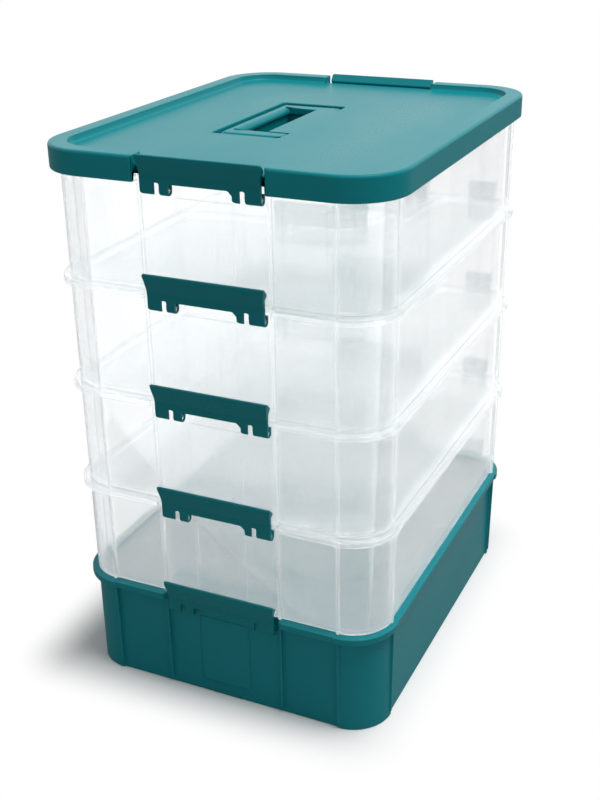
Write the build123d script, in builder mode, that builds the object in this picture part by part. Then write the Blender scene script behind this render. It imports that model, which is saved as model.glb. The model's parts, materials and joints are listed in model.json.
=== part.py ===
from build123d import *
from math import cos, radians, sin
import os

os.makedirs("parts", exist_ok=True)

# Millimetres. X runs along the short faces that carry the latches, Y along the depth,
# Z up. The origin is on the floor, in the middle of the base. Sizes called out_* are
# distances outward from the middle of the box, through its front or back wall.

# Rim shared by every tray: half sizes and corner radius
rim_half_x = 127.5
rim_half_y = 160.4
rim_corner = 36.4
rim_depth = 5.1
rim_plate = 2.0
rim_lip = 1.8
rim_edge = 0.6
rim_setback = 0.8
arc_x = rim_half_x - rim_corner
arc_y = rim_half_y - rim_corner

# Stack
base_height = 83.5
tray_pitch = 80.3
tray_count = 4
nest_depth = 6.0
rest_gap = 0.3
tray_height = tray_pitch - rest_gap

# Walls, whose corners stand proud of their panels
wall = 1.8
tray_floor = 2.0
wall_inset = 5.8
side_spread = 1.3
panel_step = 1.3
nest_clear = 0.4
wall_arc_x = arc_x + side_spread
out_wall = rim_half_y - wall_inset - panel_step
side_wall = wall_arc_x + rim_corner - wall_inset - panel_step

# Ribs on the outside of the walls, drafted towards the foot
rib_width = 2.2
rib_foot = 2.4
rib_top = 3.2
fin_top = 3.6
corner_rib_x = wall_arc_x + 0.6
fin_y = arc_y + 2.0
base_rib_lift = 4.5
rib_bevel = 1.6
pad_half = 20.5
pad_proud = 0.7
pad_lift = 11.0
pad_drop = 15.0

# Latch: heights are above the rim that it sits in
latch_half = 43.5
latch_ear_half = 45.4
latch_gap = 2.0
ear_low = 2.0
ear_bevel = 0.8
plate_thick = 2.2
out_plate = rim_half_y + 0.1
out_lip = out_plate + 2.5
plate_inside = out_plate - plate_thick
lip_top = 11.5
lip_low = 8.6
lip_start = 0.5
web_low = -5.6
foot_low = -13.0
left_foot = (-latch_half, -22.4)
right_foot = (25.4, 44.2)
foot_bevel = 1.6
slot_x = (-30.4, 31.4)
slot_width = 2.6
slot_top = -4.5
slot_bevel = 0.7
lip_bevel = 0.5
hook_reach = 2.0
ledge_top = 7.3
ledge_thick = 2.5
ledge_half = 41.0
ledge_clear = 0.6
catch_clear = 0.35
out_hook = plate_inside - hook_reach
out_ledge = plate_inside - ledge_clear
catch_slope = out_ledge - out_hook

# Pivot of the latch: a pin on the tray, in the curled right part of each foot
curl_radius = 3.2
curl_wall = 1.6
pin_fit = 0.06
pin_bore = curl_radius - curl_wall
pin_radius = pin_bore - pin_fit
out_pin = out_plate - curl_radius
pin_z = foot_low + curl_radius
curl_sides = 12
curl_leg = 2.0
curl_leg_top = -5.9
lug_thick = 1.4
pin_end_clear = 0.6

# Rim cut away round the latch
notch_half = latch_ear_half + latch_gap
notch_bevel = 1.6

# Lid
stack_top = base_height + tray_count * tray_pitch
skirt = 2.0
skirt_clear = 0.5
skirt_corner = rim_corner + skirt_clear + skirt
lid_half_x = rim_half_x + skirt_clear + skirt
lid_half_y = rim_half_y + skirt_clear + skirt
lid_low = stack_top - rim_depth
lid_rest = stack_top + rest_gap
panel_top = stack_top + ledge_top
panel_thick = 2.2
lid_rise = 6.4
lid_top = panel_top + lid_rise
lid_rim_width = 12.3
lid_rim_wall = 2.0
lid_edge = 1.2
lid_inner_round = 2.8
edge_steps = 1
inner_steps = 2
corner_ease = 0.9
lid_ring_depth = 3.0
lid_web = 2.0
side_webs = 4
side_web_pitch = 60.0
end_web_x = 78.0

# Recess in the lid for the carrying handle, and the well for the fingers
recess_left = -44.5
recess_right = 9.0
recess_half_y = 60.5
recess_round = 3.0
recess_deep = 6.4
recess_wall = 2.0
tongue_left = -8.0
tongue_half_y = 42.8
well_left = -33.5
well_half_y = 46.0
well_deep = 20.0

# Carrying handle
handle_thick = 5.0
handle_drop = 0.4
handle_left = -38.6
handle_half_y = 52.5
grip_width = 7.1
grip_round = 3.6
handle_round = 3.0
arm_clear = 0.8
arm_end_clear = 0.4
hinge_radius = 1.75
hinge_fit = 0.06
hinge_reach = 4.5
hinge_end_clear = 0.3
hinge_x = recess_right - arm_end_clear - handle_thick / 2
hinge_z = panel_top - handle_drop - handle_thick / 2
arm_inner = tongue_half_y + arm_clear

# Shallow scoop in the lower edge of the front of the base
scoop_half = 12.0
scoop_height = 4.5
scoop_deep = 1.0

# Planes that cut the front and the back wall: their x points outward and their y up
wall_sections = (Plane((0, 0, 0), x_dir=(0, -1, 0), z_dir=(-1, 0, 0)), Plane.YZ)


def flat_steps(half_x, half_y, run_x, run_y, depth):
    """Cuts the four flat sides of a rounded outline back by depth, between its corners."""
    with Locations((0, half_y), (0, -half_y)):
        Rectangle(2 * run_x, 2 * depth, mode=Mode.SUBTRACT)
    with Locations((half_x, 0), (-half_x, 0)):
        Rectangle(2 * depth, 2 * run_y, mode=Mode.SUBTRACT)


def wall_outline(inset):
    """Outline of a tray wall, inset from the rim."""
    radius = rim_corner - inset
    half_x, half_y = wall_arc_x + radius, arc_y + radius
    RectangleRounded(2 * half_x, 2 * half_y, radius)
    flat_steps(half_x, half_y, wall_arc_x, arc_y, panel_step)


def plug_outline(inset):
    """Outline of a tray's plug, which enters the panels of the wall below with nest_clear."""
    side = panel_step + wall_inset + wall + nest_clear + inset
    RectangleRounded(
        2 * (wall_arc_x + rim_corner - side), 2 * (rim_half_y - side), rim_corner - side
    )


def rim_outline(inset):
    """Outline of the rim, cut away where a latch sits on the front and on the back."""
    half_x, half_y = rim_half_x - inset, rim_half_y - inset
    RectangleRounded(2 * half_x, 2 * half_y, rim_corner - inset)
    flat_steps(half_x, half_y, arc_x, arc_y, rim_setback)
    gap = notch_half + inset
    with Locations((0, half_y), (0, -half_y)):
        Rectangle(2 * gap, 2 * (rim_half_y - out_wall + wall), mode=Mode.SUBTRACT)
    if not inset:
        outer = [v for v in vertices() if abs(v.X) < gap + 0.01 and abs(v.Y) > half_y - 2 * rim_setback]
        chamfer(outer, notch_bevel)


def rib_profile(face, foot, top, low, high, end_bevel=0):
    """Side view of a rib that starts inside a wall and stands proud of its face."""
    root = face - wall / 2
    Polygon((root, low), (face + foot, low), (face + top, high), (root, high), align=None)
    if end_bevel:
        chamfer(vertices().group_by(Axis.Y)[0].sort_by(Axis.X)[-1:], end_bevel)


def curled_parts():
    """The stretches of the two feet that curl round a pin, right of their slots."""
    return [(x + slot_width / 2, foot[1]) for x, foot in zip(slot_x, (left_foot, right_foot))]


def make_tray(height, nests):
    """A tray with z = 0 where its wall starts and z = height at the top of its rim.

    A tray that nests has a plug below its wall and ledges for the latches of the one below it.
    """
    rib_low = 0 if nests else base_rib_lift
    pad_low = 0 if nests else pad_lift
    rib_high = height - rim_plate
    rib_end = 0 if nests else rib_bevel
    floor_top = tray_floor - nest_depth if nests else tray_floor
    with BuildPart() as tray:
        with BuildSketch(Plane.XY.offset(height - rim_depth)):
            rim_outline(0)
        extrude(amount=rim_depth)
        with BuildSketch(Plane.XY.offset(height - rim_depth)):
            rim_outline(rim_lip)
        extrude(amount=rim_depth - rim_plate, mode=Mode.SUBTRACT)
        with BuildSketch(Plane.XY):
            wall_outline(wall_inset)
        extrude(amount=height)

        # Ribs: four on the front, four on the back and two on each side
        for section in wall_sections:
            for x in (-corner_rib_x, -notch_half, notch_half, corner_rib_x):
                with BuildSketch(section.offset(x)):
                    rib_profile(out_wall, rib_foot, rib_top, rib_low, rib_high, rib_end)
        for y in (-fin_y, fin_y):
            with BuildSketch(Plane.XZ.offset(y)):
                rib_profile(side_wall, rib_foot, fin_top, rib_low, rib_high)
                mirror(about=Plane.YZ)
        extrude(amount=rib_width / 2, both=True)

        for section in wall_sections:
            with BuildSketch(section):
                rib_profile(out_wall, pad_proud, pad_proud, pad_low, height - pad_drop)
        extrude(amount=pad_half, both=True)

        if nests:
            with BuildSketch(Plane.XY.offset(-nest_depth)):
                plug_outline(0)
            extrude(amount=nest_depth + tray_floor)
            for section in wall_sections:
                with BuildSketch(section):
                    Polygon(
                        (out_wall - wall / 2, ledge_top - rest_gap - ledge_thick),
                        (out_ledge, ledge_top - rest_gap - ledge_thick),
                        (out_ledge, ledge_top - rest_gap - catch_slope),
                        (out_ledge - catch_slope, ledge_top - rest_gap),
                        (out_wall - wall / 2, ledge_top - rest_gap),
                        align=None,
                    )
            extrude(amount=ledge_half, both=True)
            with BuildSketch(Plane.XY.offset(floor_top)):
                plug_outline(wall)
            extrude(amount=wall - floor_top, mode=Mode.SUBTRACT)
        with BuildSketch(Plane.XY.offset(wall if nests else floor_top)):
            wall_outline(wall_inset + wall)
        extrude(amount=height, mode=Mode.SUBTRACT)

        # Lugs in the slots of the latches' feet, with the pins that the feet turn on
        for section in wall_sections:
            for x in slot_x:
                with BuildSketch(section.offset(-x)):
                    Polygon(
                        (out_wall - wall / 2, height + pin_z - curl_radius),
                        (out_pin, height + pin_z - pin_radius),
                        (out_pin + pin_radius / 2, height + pin_z),
                        (out_pin, height + pin_z + pin_radius),
                        (out_wall - wall / 2, height + pin_z + pin_radius),
                        align=None,
                    )
        extrude(amount=lug_thick / 2, both=True)
        for x, (start, end) in zip(slot_x, curled_parts()):
            for section in wall_sections:
                with BuildSketch(section.offset(pin_end_clear - end)):
                    with Locations((out_pin, height + pin_z)):
                        RegularPolygon(pin_radius, curl_sides)
            extrude(amount=end - pin_end_clear - x - lug_thick / 2)

        if not nests:
            with BuildSketch(wall_sections[0]):
                Polygon(
                    (out_wall - scoop_deep, scoop_height),
                    (out_wall + wall, scoop_height),
                    (out_wall + wall, 0),
                    (out_wall, 0),
                    align=None,
                )
            scoop = extrude(amount=scoop_half, both=True, mode=Mode.PRIVATE)
            with BuildSketch(Plane.XZ.offset(out_wall - wall)):
                Ellipse(scoop_half, scoop_height)
            dome = extrude(amount=2 * wall, mode=Mode.PRIVATE)
            add(scoop & dome, mode=Mode.SUBTRACT)
    return tray.part


def ring_of_flats(radius, mode=Mode.ADD):
    """A round with a few flats, each of which touches the circle of that radius."""
    RegularPolygon(
        radius, curl_sides, major_radius=False, rotation=180 / curl_sides, mode=mode
    )


def latch_outline():
    """Front view of a latch, with x to the right and the rim's top at y = 0."""
    (left_out, left_in), (right_in, right_out) = left_foot, right_foot
    Polygon(
        (-latch_ear_half, lip_top), (-latch_ear_half, ear_low), (left_out, ear_low),
        (left_out, foot_low), (left_in, foot_low), (left_in, web_low),
        (right_in, web_low), (right_in, foot_low), (right_out, foot_low),
        (right_out, ear_low), (latch_ear_half, ear_low), (latch_ear_half, lip_top),
        align=None,
    )
    feet = vertices().group_by(Axis.Y)[0].sort_by(Axis.X)
    chamfer([feet[0], feet[2], *vertices().filter_by_position(Axis.Y, web_low, web_low)], foot_bevel)
    chamfer(vertices().group_by(Axis.Y)[-1], ear_bevel)
    for x in slot_x:
        half = slot_width / 2
        Polygon(
            (x - half, foot_low), (x + half, foot_low), (x + half, slot_top - slot_bevel),
            (x + half - slot_bevel, slot_top), (x - half + slot_bevel, slot_top),
            (x - half, slot_top - slot_bevel),
            align=None, mode=Mode.SUBTRACT,
        )


def make_latch():
    """The latch of the front, with the top of its rim at z = 0."""
    with BuildPart() as latch:
        with BuildSketch(wall_sections[0]):
            Polygon(
                (plate_inside, foot_low), (out_plate, foot_low), (out_plate, lip_start),
                (out_lip, lip_low), (out_lip, lip_top), (out_hook, lip_top),
                (out_hook, ledge_top + catch_clear * 2**0.5),
                (plate_inside, ledge_top + catch_clear * 2**0.5 - hook_reach),
                align=None,
            )
            chamfer(vertices().group_by(Axis.Y)[-1].sort_by(Axis.X)[-1:], lip_bevel)
            fillet(vertices().filter_by_position(Axis.Y, lip_low, lip_low), 2.0)
            fillet(vertices().filter_by_position(Axis.Y, lip_start, lip_start), 6.0)
            with BuildSketch(mode=Mode.SUBTRACT):
                with Locations((plate_inside, foot_low)):
                    Rectangle(plate_thick, curl_radius, align=(Align.MIN, Align.MIN))
                with Locations((out_pin, pin_z)):
                    ring_of_flats(curl_radius, Mode.SUBTRACT)
        extrude(amount=latch_ear_half, both=True)
        with BuildSketch(Plane.XZ):
            latch_outline()
        extrude(amount=out_lip + 1, mode=Mode.INTERSECT)

        for start, end in curled_parts():
            with BuildSketch(wall_sections[0].offset(-end)):
                with Locations((out_pin, pin_z)):
                    ring_of_flats(curl_radius)
                with Locations((out_pin - curl_radius, pin_z)):
                    Rectangle(curl_leg, curl_leg_top - pin_z, align=(Align.MIN, Align.MIN))
                with Locations((out_pin - curl_radius + curl_leg, pin_z)):
                    Rectangle(
                        2 * curl_radius, 2 * curl_radius, align=(Align.MIN, Align.MIN), mode=Mode.SUBTRACT
                    )
            extrude(amount=end - start)
            with BuildSketch(wall_sections[0].offset(-end)):
                with Locations((out_pin, pin_z)):
                    ring_of_flats(pin_bore)
            extrude(amount=end - start, mode=Mode.SUBTRACT)
    return latch.part


base_shell = make_tray(base_height, nests=False)
clear_shell = make_tray(tray_height, nests=True)
latch_shell = make_latch()

with BuildPart() as base_tray:
    add(base_shell)
base_tray.part.label = "base_tray"
export_step(base_tray.part, "parts/base_tray.step")

for level in range(tray_count):
    number = tray_count - level
    with BuildPart() as tray_part:
        with Locations((0, 0, base_height + level * tray_pitch + rest_gap)):
            add(clear_shell)
    tray_part.part.label = f"tray_{number}"
    export_step(tray_part.part, f"parts/tray_{number}.step")

for level in range(tray_count + 1):
    number = tray_count + 1 - level
    for place, turn in (("front", 0), ("back", 180)):
        with BuildPart() as latch_part:
            with Locations(Location((0, 0, base_height + level * tray_pitch), (0, 0, turn))):
                add(latch_shell)
        latch_part.part.label = f"latch_{place}_{number}"
        export_step(latch_part.part, f"parts/latch_{place}_{number}.step")


def lid_outline(inset):
    """Outline of the lid. Its corners tighten a little less than its sides move in."""
    RectangleRounded(
        2 * (lid_half_x - inset), 2 * (lid_half_y - inset), skirt_corner - corner_ease * inset
    )


def notch_outline(out_start):
    """Plan of the two gaps round the latches, whose ends are bevelled at the outer corners."""
    out_end = lid_half_y + notch_bevel
    Polygon(
        (-notch_half, -out_start), (notch_half, -out_start),
        (notch_half, notch_bevel - lid_half_y), (notch_half + 2 * notch_bevel, -out_end),
        (-notch_half - 2 * notch_bevel, -out_end), (-notch_half, notch_bevel - lid_half_y),
        align=None,
    )
    mirror(about=Plane.XZ)


def recess_outline(grow, corner):
    """U-shaped recess round the tongue that carries the handle."""
    width = recess_right - recess_left
    with Locations(((recess_right + recess_left) / 2, 0)):
        Rectangle(width + 2 * grow, 2 * (recess_half_y + grow))
    with Locations((tongue_left + grow, 0)):
        Rectangle(
            width, 2 * (tongue_half_y - grow), align=(Align.MIN, Align.CENTER), mode=Mode.SUBTRACT
        )
    if corner:
        fillet(vertices().filter_by(lambda v: abs(v.Y) > tongue_half_y + grow), corner)


def well_outline(grow):
    with Locations((well_left - grow, 0)):
        Rectangle(
            tongue_left - well_left + 2 * grow, 2 * (well_half_y + grow),
            align=(Align.MIN, Align.CENTER),
        )


with BuildPart() as lid:
    with BuildSketch(Plane.XY.offset(lid_low)):
        lid_outline(0)
    for step in range(edge_steps + 1):
        turn = radians(90 * step / edge_steps)
        with BuildSketch(Plane.XY.offset(lid_top - lid_edge + lid_edge * sin(turn))):
            lid_outline(lid_edge * (1 - cos(turn)))
    loft(ruled=True)

    # Underside: a channel with webs that rest on the rim, and a ring that sits in the tray
    ring_low = lid_rest - lid_ring_depth
    ring_inset = lid_rim_width - lid_rim_wall
    with BuildSketch(Plane.XY.offset(lid_low)):
        lid_outline(skirt)
    extrude(amount=lid_top - panel_thick - lid_low, mode=Mode.SUBTRACT)
    with BuildSketch(Plane.XY.offset(lid_rest)):
        lid_outline(ring_inset)
    extrude(amount=lid_top - panel_thick - lid_rest)
    with BuildSketch(Plane.XY.offset(ring_low)):
        plug_outline(0)
    extrude(amount=lid_rest - ring_low)
    with BuildSketch(Plane.XY.offset(lid_rest)):
        web_y = lid_half_y - lid_rim_width / 2
        with GridLocations(2 * (lid_half_x - lid_rim_width / 2), side_web_pitch, 2, side_webs):
            Rectangle(lid_rim_width - lid_rim_wall, lid_web)
        for x in (end_web_x, notch_half + lid_web / 2):
            with GridLocations(2 * x, 2 * web_y, 2, 2):
                Rectangle(lid_web, lid_rim_width - lid_rim_wall)
    extrude(amount=lid_top - panel_thick - lid_rest)
    with BuildSketch(Plane.XY.offset(ring_low)):
        plug_outline(wall)
    extrude(amount=panel_top - panel_thick - ring_low, mode=Mode.SUBTRACT)

    # Panel, sunk between the rims, with a round at the foot of its border
    with BuildSketch(Plane.XY.offset(lid_top)):
        lid_outline(lid_rim_width)
    for step in range(inner_steps + 1):
        turn = radians(90 * step / inner_steps)
        with BuildSketch(Plane.XY.offset(panel_top + lid_inner_round * (1 - sin(turn)))):
            lid_outline(lid_rim_width + lid_inner_round * (1 - cos(turn)))
    loft(ruled=True, mode=Mode.SUBTRACT)

    # Gaps for the first pair of latches, which grip the panel there
    with BuildSketch(Plane.XY.offset(panel_top)):
        notch_outline(lid_half_y - lid_rim_width - lid_inner_round)
    extrude(amount=2 * lid_rise, mode=Mode.SUBTRACT)
    with BuildSketch(Plane.XY.offset(lid_low)):
        notch_outline(lid_half_y - ring_inset)
    extrude(amount=panel_top - lid_low, mode=Mode.SUBTRACT)
    for section in wall_sections:
        with BuildSketch(section):
            Polygon(
                (lid_half_y - lid_rim_width, panel_top - panel_thick),
                (out_ledge, panel_top - panel_thick),
                (out_ledge, panel_top - catch_slope),
                (out_ledge - catch_slope, panel_top),
                (lid_half_y - lid_rim_width, panel_top),
                align=None,
            )
    extrude(amount=notch_half, both=True)

    # Handle recess, finger well and the pins that the handle turns on
    recess_low = panel_top - recess_deep
    with BuildSketch(Plane.XY.offset(recess_low - recess_wall)):
        recess_outline(recess_wall, 0)
    extrude(amount=recess_deep + recess_wall - panel_thick)
    with BuildSketch(Plane.XY.offset(panel_top - well_deep - recess_wall)):
        well_outline(recess_wall)
    extrude(amount=well_deep + recess_wall - recess_deep)
    with BuildSketch(Plane.XY.offset(recess_low)):
        recess_outline(0, recess_round)
    extrude(amount=recess_deep, mode=Mode.SUBTRACT)
    with BuildSketch(Plane.XY.offset(panel_top - well_deep)):
        well_outline(0)
    extrude(amount=well_deep, mode=Mode.SUBTRACT)
    for side in (-1, 1):
        with BuildSketch(Plane.XZ.offset(side * (tongue_half_y - recess_wall / 2))):
            with Locations((hinge_x, hinge_z)):
                RegularPolygon(hinge_radius, curl_sides)
        extrude(amount=side * (arm_clear + hinge_reach + recess_wall / 2))
lid.part.label = "lid"
export_step(lid.part, "parts/lid.step")

with BuildPart() as lid_handle:
    with BuildSketch(Plane.XY.offset(hinge_z - handle_thick / 2)):
        with Locations((handle_left, 0)):
            Rectangle(
                hinge_x - handle_left, 2 * handle_half_y, align=(Align.MIN, Align.CENTER)
            )
        fillet(vertices().group_by(Axis.X)[0], handle_round)
        with Locations((handle_left + grip_width, 0)):
            Rectangle(
                hinge_x - handle_left, 2 * arm_inner, align=(Align.MIN, Align.CENTER), mode=Mode.SUBTRACT
            )
    extrude(amount=handle_thick)
    grip_edge = edges().filter_by(Axis.Y).filter_by_position(
        Axis.X, handle_left + grip_width - 0.01, handle_left + grip_width + 0.01
    ).sort_by(Axis.Z)
    fillet(grip_edge[-1], grip_round)
    for side in (-1, 1):
        with BuildSketch(Plane.XZ.offset(side * arm_inner)):
            with Locations((hinge_x, hinge_z)):
                Circle(handle_thick / 2)
        extrude(amount=side * (handle_half_y - arm_inner))
    for side in (-1, 1):
        with BuildSketch(Plane.XZ.offset(side * (arm_inner - 1))):
            with Locations((hinge_x, hinge_z)):
                ring_of_flats(hinge_radius + hinge_fit)
        extrude(amount=side * (1 + hinge_reach + hinge_end_clear), mode=Mode.SUBTRACT)
lid_handle.part.label = "lid_handle"
export_step(lid_handle.part, "parts/lid_handle.step")
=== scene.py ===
import bmesh
import bpy
import json
import math
from mathutils import Matrix, Vector


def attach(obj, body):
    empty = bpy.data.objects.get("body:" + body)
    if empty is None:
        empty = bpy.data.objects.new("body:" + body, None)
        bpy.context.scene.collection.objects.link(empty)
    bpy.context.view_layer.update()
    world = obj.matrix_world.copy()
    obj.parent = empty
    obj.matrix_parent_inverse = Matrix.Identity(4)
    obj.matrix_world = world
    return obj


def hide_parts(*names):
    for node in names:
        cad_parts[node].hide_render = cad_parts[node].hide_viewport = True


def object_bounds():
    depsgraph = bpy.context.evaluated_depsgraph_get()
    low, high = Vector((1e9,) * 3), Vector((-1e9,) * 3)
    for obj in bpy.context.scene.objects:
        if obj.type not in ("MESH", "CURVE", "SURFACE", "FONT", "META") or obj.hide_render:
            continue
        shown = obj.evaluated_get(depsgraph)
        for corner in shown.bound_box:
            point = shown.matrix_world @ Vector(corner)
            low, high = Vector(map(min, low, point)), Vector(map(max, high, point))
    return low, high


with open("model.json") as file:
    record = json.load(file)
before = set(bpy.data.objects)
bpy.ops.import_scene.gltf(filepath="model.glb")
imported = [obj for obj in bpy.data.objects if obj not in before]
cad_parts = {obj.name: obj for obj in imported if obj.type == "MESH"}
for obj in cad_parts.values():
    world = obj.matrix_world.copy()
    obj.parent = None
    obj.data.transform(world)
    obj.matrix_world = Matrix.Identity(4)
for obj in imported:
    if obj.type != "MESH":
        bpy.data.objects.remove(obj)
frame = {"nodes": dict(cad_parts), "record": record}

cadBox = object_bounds()
print("frame loaded:", len(frame["nodes"]), "nodes")

# The finer forms of the pieces are given in millimetres, and everything else in metres
perMetre = 1000


def deselectAll():
    bpy.ops.object.select_all(action="DESELECT")


# Camera, at the photograph's place and angle. Metres and degrees.
cameraView = {
    "place": (0.37256, -0.81184, 0.59057),
    "yaw": 24.872,
    "pitch": -24.293,
    "roll": 0.865,
    "lens": 54.228,
    "sensor": 36.0,
    "shift": (-0.00326, -0.0017),
    "clip": (0.05, 50),
}


def makeCamera(c):
    data = bpy.data.cameras.new("photoCamera")
    data.sensor_width = c["sensor"]
    data.lens = c["lens"]
    data.shift_x, data.shift_y = c["shift"]
    data.clip_start, data.clip_end = c["clip"]
    camera = bpy.data.objects.new("photoCamera", data)
    bpy.context.scene.collection.objects.link(camera)
    # the look runs along +Y before it is turned, so the lens is first raised from straight down
    turn = Matrix.Rotation(math.radians(c["yaw"]), 4, "Z")
    turn = turn @ Matrix.Rotation(math.radians(c["pitch"]), 4, "X")
    turn = turn @ Matrix.Rotation(math.radians(c["roll"]), 4, "Y")
    raised = Matrix.Rotation(math.radians(90), 4, "X")
    camera.matrix_world = Matrix.Translation(c["place"]) @ turn @ raised
    bpy.context.scene.camera = camera


makeCamera(cameraView)
print("camera set")


# Materials
def newMaterial(name):
    material = bpy.data.materials.new(name)
    material.use_nodes = True
    nodes, links = material.node_tree.nodes, material.node_tree.links
    shader = nodes["Principled BSDF"]
    coords = nodes.new("ShaderNodeTexCoord")
    return material, nodes, links, shader, coords


def noise(nodes, links, coords, scale, detail=3.0, rough=0.5, stretch=None):
    made = nodes.new("ShaderNodeTexNoise")
    made.inputs["Scale"].default_value = scale
    made.inputs["Detail"].default_value = detail
    made.inputs["Roughness"].default_value = rough
    source = coords.outputs["Object"]
    if stretch:
        mapping = nodes.new("ShaderNodeMapping")
        mapping.inputs["Scale"].default_value = stretch
        links.new(source, mapping.inputs["Vector"])
        source = mapping.outputs["Vector"]
    links.new(source, made.inputs["Vector"])
    return made.outputs["Fac"]


# Noise lies mostly between the start and the end that are given here
def spread(nodes, links, source, low, high, start=0.3, end=0.7):
    made = nodes.new("ShaderNodeMapRange")
    made.inputs["From Min"].default_value = start
    made.inputs["From Max"].default_value = end
    made.inputs["To Min"].default_value = low
    made.inputs["To Max"].default_value = high
    links.new(source, made.inputs["Value"])
    return made.outputs["Result"]


def blendColours(nodes, links, factor, first, second):
    mix = nodes.new("ShaderNodeMix")
    mix.data_type = "RGBA"
    links.new(factor, mix.inputs["Factor"])
    for socket, value in (("A", first), ("B", second)):
        if isinstance(value, tuple):
            mix.inputs[socket].default_value = (*value, 1)
        else:
            links.new(value, mix.inputs[socket])
    return mix.outputs["Result"]


def calculate(nodes, links, operation, *sources):
    made = nodes.new("ShaderNodeMath")
    made.operation = operation
    for socket, source in zip(made.inputs, sources):
        if isinstance(source, float):
            socket.default_value = source
        else:
            links.new(source, socket)
    return made.outputs["Value"]


def addBump(nodes, links, shader, height, p):
    bump = nodes.new("ShaderNodeBump")
    bump.inputs["Strength"].default_value = p["bump"]
    bump.inputs["Distance"].default_value = p["bumpDepth"]
    links.new(height, bump.inputs["Height"])
    links.new(bump.outputs["Normal"], shader.inputs["Normal"])


# How far the normal of a rounded edge has to lean from the face's own to count as an edge
edgeFinder = {"samples": 4, "edge": 0.86, "flat": 0.99}


# 1 along the edges of a piece and 0 on its flats
def edgeMask(nodes, links, radius):
    rounded = nodes.new("ShaderNodeBevel")
    rounded.samples = edgeFinder["samples"]
    rounded.inputs["Radius"].default_value = radius
    plain = nodes.new("ShaderNodeNewGeometry")
    dot = nodes.new("ShaderNodeVectorMath")
    dot.operation = "DOT_PRODUCT"
    links.new(rounded.outputs["Normal"], dot.inputs[0])
    links.new(plain.outputs["Normal"], dot.inputs[1])
    alike = dot.outputs["Value"]
    return spread(nodes, links, alike, 1.0, 0.0, edgeFinder["edge"], edgeFinder["flat"])


def tealPlastic(name, p):
    material, nodes, links, shader, coords = newMaterial(name)
    cloud = noise(nodes, links, coords, p["cloudScale"])
    plain = blendColours(nodes, links, cloud, p["colour"], p["colourCloud"])
    rub = noise(nodes, links, coords, p["rubScale"], p["rubDetail"], p["rubRough"])
    wear = spread(nodes, links, rub, p["leastWear"], p["edgeWear"])
    worn = calculate(nodes, links, "MULTIPLY", edgeMask(nodes, links, p["edgeReach"]), wear)
    colour = blendColours(nodes, links, worn, plain, p["colourWorn"])
    links.new(colour, shader.inputs["Base Color"])
    grain = noise(nodes, links, coords, p["grainScale"], p["grainDetail"], p["grainRough"])
    smear = noise(
        nodes, links, coords, p["smearScale"], p["smearDetail"], p["smearRough"], p["smearStretch"]
    )
    rough, grainSwing, smearSwing = p["rough"], p["grainSwing"], p["smearSwing"]
    fine = spread(nodes, links, grain, rough - grainSwing, rough + grainSwing)
    broad = spread(nodes, links, smear, -smearSwing, smearSwing)
    links.new(calculate(nodes, links, "ADD", fine, broad), shader.inputs["Roughness"])
    addBump(nodes, links, shader, grain, p)
    shader.inputs["IOR"].default_value = p["ior"]
    return material


tealFinish = {
    "colour": (0.0030, 0.228, 0.260),
    "colourCloud": (0.0034, 0.242, 0.274),
    "colourWorn": (0.045, 0.34, 0.355),
    "cloudScale": 6.0,
    "edgeReach": 0.0009, "leastWear": 0.2, "edgeWear": 0.75,
    "rubScale": 70.0, "rubDetail": 5.0, "rubRough": 0.7,
    "grainScale": 900.0, "grainDetail": 4.0, "grainRough": 0.6, "grainSwing": 0.04,
    "smearScale": 11.0, "smearDetail": 2.0, "smearRough": 0.5, "smearSwing": 0.05,
    "smearStretch": (1.0, 0.35, 1.0),
    "rough": 0.33, "bump": 0.12, "bumpDepth": 0.0001, "ior": 1.23,
}
# The latches are the same plastic as the lid; this darker copy of its teal is painted shade, for
# the darker look they have in the light
latchPaintedShadeFinish = {
    **tealFinish,
    "colour": (0.0030, 0.190, 0.218),
    "colourCloud": (0.0034, 0.204, 0.232),
    "rough": 0.30,
}
baseFinish = {
    **tealFinish,
    "colour": (0.0060, 0.228, 0.264),
    "colourCloud": (0.0066, 0.242, 0.278),
    "rough": 0.36,
}
# The alpha is the share of light that is refracted, milky or reflected, and the rest goes straight
# on. The plastic also glows a little, though it is no lamp: painted light for what scatters inside
# a real wall, stronger along the edges as a painted highlight.
clearFinish = {
    "colour": (0.980, 0.988, 0.992),
    "colourFlow": (0.988, 0.994, 0.996),
    "flowScale": 16.0,
    "faceAlpha": 0.40, "edgeAlpha": 0.90, "turn": 0.35,
    "scratchScale": 240.0, "scratchDetail": 4.0, "scratchRough": 0.65,
    "scratchStretch": (1.0, 1.0, 0.08),
    "rough": 0.04, "smoother": 0.02, "rougher": 0.03,
    "bump": 0.05, "bumpDepth": 0.0005, "ior": 1.5,
    "edgeReach": 0.0011, "milkyEdge": 0.55, "milkyFloor": 0.22, "milkyWall": 0.04,
    "wallLevel": 0.6, "floorLevel": 0.9,
    "paintedGlowColour": (0.92, 0.98, 1.0), "paintedGlowFace": 0.10, "paintedGlowEdge": 0.30,
}


# How much of the light a clear piece scatters: most on its floor and along its edges
def milkiness(nodes, links, p):
    geometry = nodes.new("ShaderNodeNewGeometry")
    parts = nodes.new("ShaderNodeSeparateXYZ")
    links.new(geometry.outputs["True Normal"], parts.inputs["Vector"])
    level = calculate(nodes, links, "ABSOLUTE", parts.outputs["Z"])
    floor = spread(
        nodes, links, level, p["milkyWall"], p["milkyFloor"], p["wallLevel"], p["floorLevel"]
    )
    mask = edgeMask(nodes, links, p["edgeReach"])
    edge = calculate(nodes, links, "MULTIPLY", mask, p["milkyEdge"])
    return calculate(nodes, links, "MAXIMUM", floor, edge), edge


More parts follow.
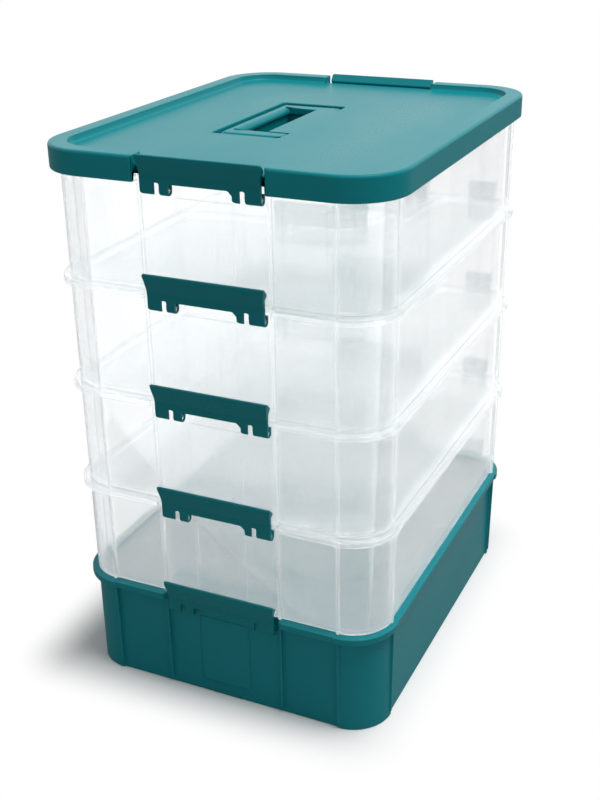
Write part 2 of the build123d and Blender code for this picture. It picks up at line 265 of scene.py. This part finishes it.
def clearPlastic(name, p):
    material, nodes, links, shader, coords = newMaterial(name)
    flow = noise(nodes, links, coords, p["flowScale"])
    colour = blendColours(nodes, links, flow, p["colour"], p["colourFlow"])
    links.new(colour, shader.inputs["Base Color"])
    shader.inputs["IOR"].default_value = p["ior"]
    milky, edge = milkiness(nodes, links, p)
    # Painted glow: the plastic gives off light of its own, stronger along its edges as a painted
    # highlight
    shader.inputs["Emission Color"].default_value = (*p["paintedGlowColour"], 1)
    paintedGlow = spread(
        nodes, links, edge, p["paintedGlowFace"], p["paintedGlowEdge"], 0.0, p["milkyEdge"]
    )
    links.new(paintedGlow, shader.inputs["Emission Strength"])
    material.cycles.emission_sampling = "NONE"
    passed = spread(nodes, links, milky, 1.0, 0.0, 0.0, 1.0)
    links.new(passed, shader.inputs["Transmission Weight"])
    scratch = noise(
        nodes, links, coords,
        p["scratchScale"], p["scratchDetail"], p["scratchRough"], p["scratchStretch"],
    )
    rough = spread(nodes, links, scratch, p["rough"] - p["smoother"], p["rough"] + p["rougher"])
    links.new(rough, shader.inputs["Roughness"])
    facing = nodes.new("ShaderNodeLayerWeight")
    facing.inputs["Blend"].default_value = p["turn"]
    haze = spread(
        nodes, links, facing.outputs["Facing"], p["faceAlpha"], p["edgeAlpha"], 0.0, 1.0
    )
    links.new(haze, shader.inputs["Alpha"])
    addBump(nodes, links, shader, flow, p)
    return material


finishes = {
    "lid_plastic": tealPlastic("lidPlastic", tealFinish),
    "latch_plastic": tealPlastic("latchPlasticPaintedShade", latchPaintedShadeFinish),
    "base_plastic": tealPlastic("basePlastic", baseFinish),
    "clear_plastic": clearPlastic("clearPlastic", clearFinish),
}
print("materials made")

# Each piece again, with the small round that a mould leaves on its edges. Metres and degrees.
mouldEdges = {
    "lid": 0.0009, "lid_handle": 0.0008, "base_tray": 0.0006, "tray": 0.00045, "latch": 0.0005,
    "segments": 3, "sharp": 38.0, "coplanar": 0.02, "flat": 1.0, "merge": 1e-6,
    "splitX": (0.016, 0.060, 0.086), "splitY": (0.020, 0.070, 0.115),
}


# A line of edges round a piece where a plane cuts it. Place in millimetres.
def ring(mesh, place, normal):
    everything = [*mesh.verts, *mesh.edges, *mesh.faces]
    place = [value / perMetre for value in place]
    made = bmesh.ops.bisect_plane(
        mesh, geom=everything, dist=mouldEdges["merge"], plane_co=place, plane_no=normal
    )
    for part in made["geom_cut"]:
        if isinstance(part, bmesh.types.BMEdge):
            part.seam = True


# Broad faces are split along a few straight lines, so that none runs round a hole
def splitBroadFaces(mesh, p):
    for side in (-1, 1):
        for x in p["splitX"]:
            ring(mesh, (side * x * perMetre, 0, 0), (1, 0, 0))
        for y in p["splitY"]:
            ring(mesh, (0, side * y * perMetre, 0), (0, 1, 0))


# Forms that the photograph shows and the solids leave plainer. Millimetres, with heights above the
# rim that a latch sits in. Each shift names the points by their x and z, and then moves them.
latchForms = {
    "count": 5, "lowestRim": 83.5, "rimPitch": 80.3,
    "ring": 9.0,
    "shifts": [
        ((-31.8, -31.6), (-13.0, -4.4), (-1.4, 0)), ((-31.1, -30.9), (-5.0, -4.0), (-1.4, 0)),
        ((30.0, 30.2), (-13.0, -4.4), (-1.3, 0)), ((30.7, 30.9), (-5.0, -4.0), (-1.3, 0)),
        ((25.3, 27.0), (-13.0, -8.0), (-1.8, 0)), ((25.3, 25.5), (-7.3, -7.1), (-1.8, -0.8)),
        ((23.7, 23.9), (-5.7, -5.5), (-3.2, 0.6)), ((-20.9, -20.7), (-5.7, -5.5), (-1.0, 0.6)),
        ((-22.5, -22.3), (-7.3, -7.1), (0, 1.2)),
    ],
    "innerSide": -157, "outerSide": -160,
    "lipTop": 11.5, "lipTopBand": 1.0, "lipRise": 2.2, "lipLean": 4.7,
    "lipLow": 8.2, "lipLowRise": 1.9,
    "plateEnds": (-43.5, 44.2), "earHalf": 45.4, "earFoot": 5.0,
    "earStart": (1.99, 2.01), "earStartPast": 0.5, "earStartLean": 0.93,
    "earPast": 0.8, "earTopBand": 1.3,
}


def finerLatch(mesh, rim, side, f):
    ring(mesh, (0, 0, rim + f["ring"]), (0, 0, 1))
    for vert in mesh.verts:
        x, y = vert.co.x * perMetre * side, vert.co.y * perMetre * side
        z = vert.co.z * perMetre - rim
        for (lowX, highX), (lowZ, highZ), (moveX, moveZ) in f["shifts"]:
            if lowX < x < highX and lowZ < z < highZ:
                x, z = x + moveX, z + moveZ
                break
        if z > f["lipTop"] - f["lipTopBand"]:
            y -= f["lipLean"] if y > f["innerSide"] else 0
            z += f["lipRise"]
        elif z > f["lipLow"] and y < f["outerSide"]:
            z += f["lipLowRise"]
        end = f["plateEnds"][x > 0]
        past = abs(x) - abs(end)
        if f["earStart"][0] < z < f["earStart"][1] and past > f["earStartPast"]:
            y -= f["earStartLean"] if y < f["outerSide"] else 0
            x, z = end, f["earFoot"]
        elif z > f["earFoot"] and past > f["earPast"] and z < f["lipTop"] + f["earTopBand"]:
            share = (z - f["earFoot"]) / (f["lipTop"] + f["lipRise"] - f["earFoot"])
            x = end + (math.copysign(f["earHalf"], x) - end) * share
        vert.co = (x * side / perMetre, y * side / perMetre, (z + rim) / perMetre)


# Millimetres, with heights above the floor, as in the lid's forms below
handleForms = {
    "top": 411.6, "bevel": 2.4, "gripGrow": 2.9, "armGrow": 3.0,
    "gripFrom": -35.5, "armFrom": 49.4, "armEnd": 2.0, "near": 0.1,
}


def finerHandle(mesh, f):
    ring(mesh, (0, 0, f["top"] - f["bevel"]), (0, 0, 1))
    ring(mesh, (f["armEnd"], 0, 0), (1, 0, 0))
    for vert in mesh.verts:
        x, y, z = (value * perMetre for value in vert.co)
        less = f["bevel"] if z > f["top"] - f["near"] or x > f["armEnd"] + f["near"] else 0
        if abs(y) > f["armFrom"]:
            y = math.copysign(abs(y) + f["armGrow"] - less, y)
        if x < f["gripFrom"]:
            x -= f["gripGrow"] - less
        vert.co = (x / perMetre, y / perMetre, z / perMetre)


# Each line of the profile has a height, its rise, and how far its inner points move inwards
lidForms = {
    "half": (130.0, 162.9), "corner": 38.9, "panelTop": 412.0, "near": 0.05,
    "borderReach": 16, "borderInner": 6, "outerFrom": 3, "rimDrop": 1.2,
    "profile": [
        (412.0, 0.0, 1.7), (412.82, 0.29, 0.99), (414.8, 1.0, 0.7), (418.4, -1.2, 0.7),
    ],
}


def finerLid(mesh, f):
    for vert in mesh.verts:
        x, y, z = (value * perMetre for value in vert.co)
        if z < f["panelTop"] - f["near"]:
            continue
        middle = [min(abs(a), half - f["corner"]) for a, half in zip((x, y), f["half"])]
        out = Vector((abs(x) - middle[0], abs(y) - middle[1]))
        inset = f["corner"] - out.length
        lowOuter = z < f["panelTop"] + f["outerFrom"] and inset < f["borderInner"]
        if inset > f["borderReach"] or lowOuter:
            continue
        for height, rise, step in f["profile"]:
            if abs(z - height) < f["near"]:
                z += rise
                if inset > f["borderInner"]:
                    out = out.normalized() * (out.length - step)
                break
        else:
            z -= f["rimDrop"]
        x = math.copysign(middle[0] + out.x, x)
        y = math.copysign(middle[1] + out.y, y)
        vert.co = (x / perMetre, y / perMetre, z / perMetre)


def refine(mesh, node, kind):
    if kind == "latch":
        level = latchForms["count"] - int(node[-1])
        rim = latchForms["lowestRim"] + latchForms["rimPitch"] * level
        finerLatch(mesh, rim, -1 if "back" in node else 1, latchForms)
    elif kind == "lid_handle":
        finerHandle(mesh, handleForms)
    elif kind == "lid":
        finerLid(mesh, lidForms)


def dissolveFlats(mesh, angle):
    bmesh.ops.dissolve_limit(
        mesh, angle_limit=math.radians(angle), verts=mesh.verts, edges=mesh.edges,
        delimit={"SEAM"},
    )


# The rounds aren't clamped, because one short edge would then shrink all of a piece's rounds. They
# can overlap where a form is smaller than they are, as at the scoop in the front of the base.
def mouldedCopy(node, body, slotName, p):
    piece = bpy.data.objects.new("moulded_" + node, frame["nodes"][node].data.copy())
    bpy.context.scene.collection.objects.link(piece)
    deselectAll()
    bpy.context.view_layer.objects.active = piece
    piece.select_set(True)
    bpy.ops.mesh.customdata_custom_splitnormals_clear()
    kind = node if node in p else node.split("_")[0]
    mesh = bmesh.new()
    mesh.from_mesh(piece.data)
    bmesh.ops.remove_doubles(mesh, verts=mesh.verts, dist=p["merge"])
    dissolveFlats(mesh, p["coplanar"])
    refine(mesh, node, kind)
    if kind in ("lid", "base_tray", "tray"):
        splitBroadFaces(mesh, p)
    dissolveFlats(mesh, p["flat"])
    mesh.to_mesh(piece.data)
    mesh.free()
    bevel = piece.modifiers.new("mouldRound", "BEVEL")
    bevel.width = p[kind]
    bevel.segments = p["segments"]
    bevel.limit_method = "ANGLE"
    bevel.angle_limit = math.radians(p["sharp"])
    bevel.use_clamp_overlap = False
    bpy.ops.object.modifier_apply(modifier=bevel.name)
    bpy.ops.object.shade_smooth_by_angle(angle=math.radians(p["sharp"]))
    even = piece.modifiers.new("evenFlats", "WEIGHTED_NORMAL")
    even.keep_sharp = True
    bpy.ops.object.modifier_apply(modifier=even.name)
    # no point leaves the CAD's box
    for vert in piece.data.vertices:
        vert.co = [min(max(value, low), high) for value, low, high in zip(vert.co, *cadBox)]
    piece.data.materials.clear()
    piece.data.materials.append(finishes[slotName])
    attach(piece, body)
    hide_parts(node)


slots = {row["node"]: row["material_slot"] for row in frame["record"]["subparts"]}
for body, nodes in frame["record"]["behaviour"]["bodies"].items():
    for node in nodes:
        mouldedCopy(node, body, slots[node], mouldEdges)
print("moulded pieces made")


# Floor, light and background. Metres and watts.
studio = {
    "floorSize": 8.0, "floorDrop": -0.0002, "floorRough": 0.9,
    "floorSeen": 0.96, "floorBounce": 0.46,
    "footprint": (0.118, 0.150), "shadowShift": (0.016, 0, 0), "shadowReach": 0.055,
    "softboxPlace": (0.65, 0.0, 2.1), "softboxAim": (0, 0, 0.3),
    "softboxSize": 1.2, "softboxPower": 31.5,
    "sky": 0.32, "white": 1.0,
}


def backgroundRays(nodes, links, others):
    path = nodes.new("ShaderNodeLightPath")
    seen = path.outputs["Is Camera Ray"]
    for ray in others:
        seen = calculate(nodes, links, "MAXIMUM", seen, path.outputs[ray])
    return seen


def mixShaders(nodes, links, factor, first, second):
    mix = nodes.new("ShaderNodeMixShader")
    links.new(factor, mix.inputs["Fac"])
    links.new(first, mix.inputs[1])
    links.new(second, mix.inputs[2])
    return mix.outputs["Shader"]


# The paper keeps the shadow near the box, and is plain white away from it
def awayFromBox(nodes, links, coords, s):
    away = coords.outputs["Object"]
    steps = (
        ("ADD", s["shadowShift"]), ("ABSOLUTE", None),
        ("SUBTRACT", (*s["footprint"], 1)), ("MAXIMUM", (0, 0, 0)),
    )
    for operation, value in steps:
        step = nodes.new("ShaderNodeVectorMath")
        step.operation = operation
        links.new(away, step.inputs[0])
        if value:
            step.inputs[1].default_value = value
        away = step.outputs["Vector"]
    length = nodes.new("ShaderNodeVectorMath")
    length.operation = "LENGTH"
    links.new(away, length.inputs[0])
    fade = nodes.new("ShaderNodeMapRange")
    fade.interpolation_type = "SMOOTHSTEP"
    fade.inputs["From Max"].default_value = s["shadowReach"]
    links.new(length.outputs["Value"], fade.inputs["Value"])
    return fade.outputs["Result"]


def makeFloor(s):
    deselectAll()
    bpy.ops.mesh.primitive_plane_add(size=s["floorSize"], location=(0, 0, s["floorDrop"]))
    floor = bpy.context.object
    floor.name = "floor"
    bpy.ops.object.transform_apply(location=True)
    material, nodes, links, shader, coords = newMaterial("floorPaper")
    shader.inputs["Base Color"].default_value = (*[s["floorBounce"]] * 3, 1)
    shader.inputs["Roughness"].default_value = s["floorRough"]
    paper = nodes.new("ShaderNodeBsdfDiffuse")
    paper.inputs["Color"].default_value = (*[s["floorSeen"]] * 3, 1)
    white = nodes.new("ShaderNodeEmission")
    away = awayFromBox(nodes, links, coords, s)
    seen = mixShaders(nodes, links, away, paper.outputs["BSDF"], white.outputs["Emission"])
    rays = backgroundRays(nodes, links, ["Is Transmission Ray"])
    links.new(
        mixShaders(nodes, links, rays, shader.outputs["BSDF"], seen),
        nodes["Material Output"].inputs["Surface"],
    )
    floor.data.materials.append(material)


def makeSoftbox(s):
    data = bpy.data.lights.new("softbox", "AREA")
    data.shape = "DISK"
    data.size = s["softboxSize"]
    data.energy = s["softboxPower"]
    lamp = bpy.data.objects.new("softbox", data)
    bpy.context.scene.collection.objects.link(lamp)
    lamp.location = s["softboxPlace"]
    lamp.rotation_mode = "QUATERNION"
    look = Vector(s["softboxAim"]) - Vector(s["softboxPlace"])
    lamp.rotation_quaternion = look.to_track_quat("-Z", "Y")


def makeWorld(s):
    world = bpy.data.worlds.new("studioWhite")
    bpy.context.scene.world = world
    world.use_nodes = True
    nodes, links = world.node_tree.nodes, world.node_tree.links
    sky = nodes["Background"]
    white = nodes.new("ShaderNodeBackground")
    for background, strength in ((sky, s["sky"]), (white, s["white"])):
        background.inputs["Color"].default_value = (1, 1, 1, 1)
        background.inputs["Strength"].default_value = strength
    rays = backgroundRays(nodes, links, ["Is Glossy Ray", "Is Transmission Ray"])
    links.new(
        mixShaders(nodes, links, rays, sky.outputs["Background"], white.outputs["Background"]),
        nodes["World Output"].inputs["Surface"],
    )


makeFloor(studio)
makeSoftbox(studio)
makeWorld(studio)
bpy.context.scene.view_settings.view_transform = "Standard"
print("studio set")
